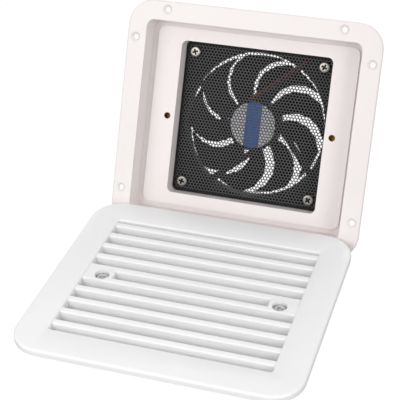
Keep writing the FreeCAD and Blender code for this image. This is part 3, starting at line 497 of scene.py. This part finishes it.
# Motor in the hub: a brass tube with a bronze sleeve carries the green board, the core and its four coils.
# The tube is turned, the sleeve is sintered, the core is stamped, and the coils are wound of copper wire.

tube_brass = (0.55, 0.4, 0.17)
sleeve_bronze = (0.4, 0.24, 0.11)
board_green = (0.02, 0.14, 0.05)
core_grey = (0.3, 0.3, 0.31)
wire_copper = (0.45, 0.17, 0.06)

finish_node("bearing_tube", worked_metal("tube brass", tube_brass, gloss=0.3, grain=0.0006, depth=0.00002))
finish_node("sleeve_bearing", worked_metal("sintered bronze", sleeve_bronze, gloss=0.55, grain=0.0003,
                                           depth=0.00004))
finish_node("circuit_board", moulded_plastic("board green", board_green, gloss=0.35, grain=0.0006,
                                             depth=0.00001, tint=0.15))
finish_node("stator_core", worked_metal("core steel", core_grey, gloss=0.5, grain=0.0005, depth=0.00004))
finish_node("coils", worked_metal("enamelled copper", wire_copper, gloss=0.3, grain=0.0004, depth=0.00006,
                                  metal=0.8))

# Rotor's metal: a drawn steel cup lined by the ring magnet, and a ground shaft pressed into the hub. The
# shaft runs against a nylon washer and is held by a nylon clip.

cup_grey = (0.4, 0.4, 0.41)
magnet_dark = (0.06, 0.055, 0.055)
shaft_bright = (0.65, 0.65, 0.66)
nylon_cream = (0.7, 0.68, 0.6)

finish_node("rotor_cup", worked_metal("drawn steel", cup_grey, gloss=0.4, grain=0.0007, depth=0.00002))
finish_node("magnet_ring", moulded_plastic("magnet grey", magnet_dark, gloss=0.7, grain=0.0005,
                                           depth=0.00004, tint=0.15))
finish_node("shaft", worked_metal("ground steel", shaft_bright, gloss=0.18, grain=0.0003, depth=0.00001))
nylon = moulded_plastic("nylon", nylon_cream, gloss=0.45, grain=0.0006, depth=0.00001, tint=0.06)
for node in ("thrust_washer", "retaining_clip"):
    finish_node(node, nylon)

# Leads: two insulated wires, red and black, that lie in a strut's channel and leave by the fan's corner
# for a white nylon plug.

lead_finishes = (
    ("lead_red", "red insulation", (0.3, 0.008, 0.008)),
    ("lead_black", "black insulation", (0.015, 0.015, 0.015)),
)
plug_white = (0.75, 0.73, 0.68)

for node, name, colour in lead_finishes:
    finish_node(node, moulded_plastic(name, colour, gloss=0.4, grain=0.0006, depth=0.00001, tint=0.1))
finish_node("lead_connector", moulded_plastic("plug nylon", plug_white, gloss=0.4, grain=0.0008,
                                              depth=0.00001, tint=0.06))

# Louvre cover: cool white ABS, smoother than the base, moulded in one piece: a rounded cap that laps over
# the flange, a frame round its window, and ten slats and two screw bosses just under its face. The cap and
# the frame are blocks that are joined and cut, and the slats are one slat set out in a row.

cover_white = (0.888, 0.884, 0.89)
lap_tall = 0.005
lap_wall = 0.0025
lap_deep = 0.003
lap_corner = 0.023
face_round = 0.002
window_half = Vector((0.0798, 0.0687))
window_corner = 0.002
window_round = 0.0012
frame_wall = 0.0022
frame_sunk = 0.00075
slat_count = 10
slat_pitch = 0.01363
slat_rear = 0.0655
slat_width = 0.0046
slat_foot = 0.0022
slat_drop = 0.0009
slat_clear = 0.003
slat_round = 0.0012
boss_length = 0.0223
boss_corner = 0.0079
boss_round = 0.0005
bore_radius = 0.0055
bore_seat = 0.006
bolt_head = 0.005
bolt_hole = 0.0023
level_gap = 0.00001
side_gap = 0.0001

lap_low, lap_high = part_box("louvre_cover")
cap_half = (lap_high - lap_low) / 2
cover_middle = Matrix.Translation(((lap_low.x + lap_high.x) / 2, (lap_low.y + lap_high.y) / 2, 0))
cover_face = lap_high.z
lap_foot = cover_face - lap_tall
slat_face = cover_face - slat_drop
slat_middle = slat_rear - slat_width / 2
bolts_low, bolts_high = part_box("cover_screws")
bolt_reach = (bolts_high.x - bolts_low.x) / 2 - bolt_head
boss_rear = slat_rear - (slat_count / 2 - 1) * slat_pitch
boss_half = (slat_pitch + slat_width) / 2
boss_reach = window_half.x + frame_wall / 2 - boss_length / 2


def rounded_block(half_x, half_y, corner, low, high):
    """A block round the origin with rounded upright corners, from one height to another."""
    bpy.ops.object.select_all(action="DESELECT")
    bpy.ops.mesh.primitive_plane_add(size=2, location=(0, 0, low))
    block = bpy.context.object
    block.scale = (half_x, half_y, 1)
    bpy.ops.object.transform_apply(location=True, rotation=False, scale=True)
    bpy.ops.object.mode_set(mode="EDIT")
    bpy.ops.mesh.bevel(offset=corner, segments=8, affect="VERTICES")
    bpy.ops.mesh.extrude_region_move(TRANSFORM_OT_translate={"value": (0, 0, high - low)})
    bpy.ops.mesh.select_all(action="SELECT")
    bpy.ops.mesh.normals_make_consistent(inside=False)
    bpy.ops.object.mode_set(mode="OBJECT")
    return block


def round_top(piece, width, segments):
    """Round the edges of a piece's flat top."""
    bpy.ops.object.mode_set(mode="EDIT")
    select_by(piece, "FACE", faces_up)
    bpy.ops.mesh.bevel(offset=width, segments=segments)
    bpy.ops.object.mode_set(mode="OBJECT")


def on_window_rim(edge):
    """True for an edge of the window in the cover's face."""
    return all(abs(end.co.z - cover_face) < level_gap and abs(end.co.x) < window_half.x + side_gap
               and abs(end.co.y) < window_half.y + side_gap for end in edge.verts)


def at_slat_foot(vertex):
    """True for a vertex of the slat's lower rear edge, which leans forward."""
    return vertex.co.z < slat_face / 2 and vertex.co.y > slat_middle


def on_slat_front(edge):
    """True for the slat's upper front edge, which is rounded."""
    return all(end.co.z > slat_face / 2 and end.co.y < slat_middle for end in edge.verts)


moulding = rounded_block(cap_half.x, cap_half.y, lap_corner, lap_foot, cover_face)
round_top(moulding, face_round, segments=6)
lap_hollow = rounded_block(cap_half.x - lap_wall, cap_half.y - lap_wall, lap_corner - lap_wall,
                           lap_foot - lap_deep, lap_foot + lap_deep)
combine(moulding, lap_hollow, "DIFFERENCE")
frame_outside = rounded_block(window_half.x + frame_wall, window_half.y + frame_wall,
                              window_corner + frame_wall, 0, cover_face - frame_sunk)
combine(moulding, frame_outside, "UNION")
window = rounded_block(window_half.x, window_half.y, window_corner, -frame_wall, cover_face + frame_wall)
combine(moulding, window, "DIFFERENCE")
bpy.ops.object.mode_set(mode="EDIT")
select_by(moulding, "EDGE", on_window_rim)
bpy.ops.mesh.bevel(offset=window_round, segments=3, affect="EDGES")
bpy.ops.object.mode_set(mode="OBJECT")

bpy.ops.object.select_all(action="DESELECT")
bpy.ops.mesh.primitive_cube_add(size=1, location=(0, slat_middle, (slat_face + slat_clear) / 2))
slats = bpy.context.object
slats.scale = (2 * window_half.x + frame_wall, slat_width, slat_face - slat_clear)
bpy.ops.object.transform_apply(location=True, rotation=False, scale=True)
bpy.ops.object.mode_set(mode="EDIT")
select_by(slats, "VERT", at_slat_foot)
bpy.ops.transform.translate(value=(0, slat_foot - slat_width, 0))
select_by(slats, "EDGE", on_slat_front)
bpy.ops.mesh.bevel(offset=slat_round, segments=4, affect="EDGES")
bpy.ops.object.mode_set(mode="OBJECT")
apply_modifier(slats, "ARRAY", count=slat_count, constant_offset_displace=(0, -slat_pitch, 0),
               **fixed_steps)
combine(moulding, slats, "UNION")

for side in (-1, 1):
    boss = rounded_block(boss_length / 2, boss_half, boss_corner, slat_clear, slat_face)
    round_top(boss, boss_round, segments=2)
    boss.location = (side * boss_reach, boss_rear - boss_half, 0)
    combine(moulding, boss, "UNION")
    for radius, low in ((bore_radius, bore_seat), (bolt_hole, 0)):
        bpy.ops.object.select_all(action="DESELECT")
        bpy.ops.mesh.primitive_cylinder_add(vertices=40, radius=radius, depth=cover_face,
                                            location=(side * bolt_reach, 0, low + cover_face / 2))
        combine(moulding, bpy.context.object, "DIFFERENCE")
bpy.ops.object.shade_smooth_by_angle(angle=math.radians(30))
# The cover's plastic has painted shade in its inner corners.
cover_plastic = moulded_plastic("cover white plastic", cover_white, gloss=0.38, grain=0.0012, depth=0.00002,
                                corner_shade=0.12)
settle(moulding, "louvre_moulding", "louvre_cover", cover_plastic, "cover", cover_middle)

# Cover screws: plain steel pan heads that stand loose in the cover's two bores, just under its face. One
# is turned like the fan's screws, with a shallower cross, and the other is its copy.

bolt_tall = 0.0026
bolt_sunk = 0.0022
bolt_shank = 0.002
bolt_recess = 0.0007
bolt_grey = (0.62, 0.62, 0.62)

# The cover screws' steel has a little painted shade in its crosses.
bolt_steel = worked_metal("plain steel", bolt_grey, gloss=0.45, grain=0.0005, depth=0.00002, recess_shade=0.3)
bolt_seat = slat_face - bolt_sunk - bolt_tall
bolt = recessed_screw(bolt_head, bolt_tall, bolt_shank, bolt_seat - bolts_low.z, bolt_recess)
bolt_spots = [((-bolt_reach, 0, bolt_seat), 25), ((bolt_reach, 0, bolt_seat), 70)]
place_copies(bolt, "cover_screw", "cover_screws", bolt_steel, bolt_spots, "cover",
             cover_middle)

# Setting: a white floor that keeps a faint shadow, and a white surround that lights the part less than it
# shows. Of the four soft lamps, three stand in front and one stands low behind the base.

floor_size = 6
floor_grey = (0.45, 0.45, 0.45)
floor_glow = 1.08
shadow_share = 0.08
surround_level = 0.705
lamp_aim = Vector((0, 0, 0.06))
# Each lamp's name, its place and size in metres, and its power in watts
lamps = (
    ("near lamp", (-0.25, -0.8, 0.6), 0.25, 1.5),
    ("right lamp", (1.3, -1.2, 0.8), 0.8, 8.5),
    ("left lamp", (-0.6, -0.9, 0.7), 0.5, 2.3),
    ("rear lamp", (0, 1.5, 0.4), 0.2, 4),
)

bpy.ops.object.select_all(action="DESELECT")
bpy.ops.mesh.primitive_plane_add(size=floor_size, location=(0, 0, 0))
floor = bpy.context.object
floor.name = "floor"
floor_white, tree, shader = start_material("floor white")
shader.inputs["Base Color"].default_value = (*floor_grey, 1)
shader.inputs["Roughness"].default_value = 0.9
shader.inputs["Specular IOR Level"].default_value = 0
glow = tree.nodes.new("ShaderNodeEmission")
glow.inputs["Strength"].default_value = floor_glow
seen = tree.nodes.new("ShaderNodeLightPath")
share = tree.nodes.new("ShaderNodeMath")
share.operation = "MULTIPLY"
share.inputs[1].default_value = 1 - shadow_share
blend = tree.nodes.new("ShaderNodeMixShader")
tree.links.new(seen.outputs["Is Camera Ray"], share.inputs[0])
tree.links.new(share.outputs["Value"], blend.inputs["Fac"])
tree.links.new(shader.outputs["BSDF"], blend.inputs[1])
tree.links.new(glow.outputs["Emission"], blend.inputs[2])
tree.links.new(blend.outputs["Shader"], tree.nodes["Material Output"].inputs["Surface"])
floor.data.materials.append(floor_white)

world = bpy.data.worlds.new("surround")
bpy.context.scene.world = world
world.use_nodes = True
tree = world.node_tree
seen = tree.nodes.new("ShaderNodeLightPath")
looked_at = seen.outputs["Is Camera Ray"]
for kind in ("Is Glossy Ray", "Is Transmission Ray"):
    either = tree.nodes.new("ShaderNodeMath")
    either.operation = "MAXIMUM"
    tree.links.new(looked_at, either.inputs[0])
    tree.links.new(seen.outputs[kind], either.inputs[1])
    looked_at = either.outputs["Value"]
dim = tree.nodes["Background"]
bright = tree.nodes.new("ShaderNodeBackground")
for background, level in ((dim, surround_level), (bright, 1)):
    background.inputs["Color"].default_value = (1, 1, 1, 1)
    background.inputs["Strength"].default_value = level
blend = tree.nodes.new("ShaderNodeMixShader")
tree.links.new(looked_at, blend.inputs["Fac"])
tree.links.new(dim.outputs["Background"], blend.inputs[1])
tree.links.new(bright.outputs["Background"], blend.inputs[2])
tree.links.new(blend.outputs["Shader"], tree.nodes["World Output"].inputs["Surface"])

for name, place, size, power in lamps:
    lamp_data = bpy.data.lights.new(name, "AREA")
    lamp_data.size = size
    lamp_data.energy = power
    lamp = bpy.data.objects.new(name, lamp_data)
    lamp.location = place
    lamp.rotation_euler = (lamp_aim - Vector(place)).to_track_quat("-Z", "Y").to_euler()
    bpy.context.collection.objects.link(lamp)

bpy.context.scene.view_settings.view_transform = "Standard"
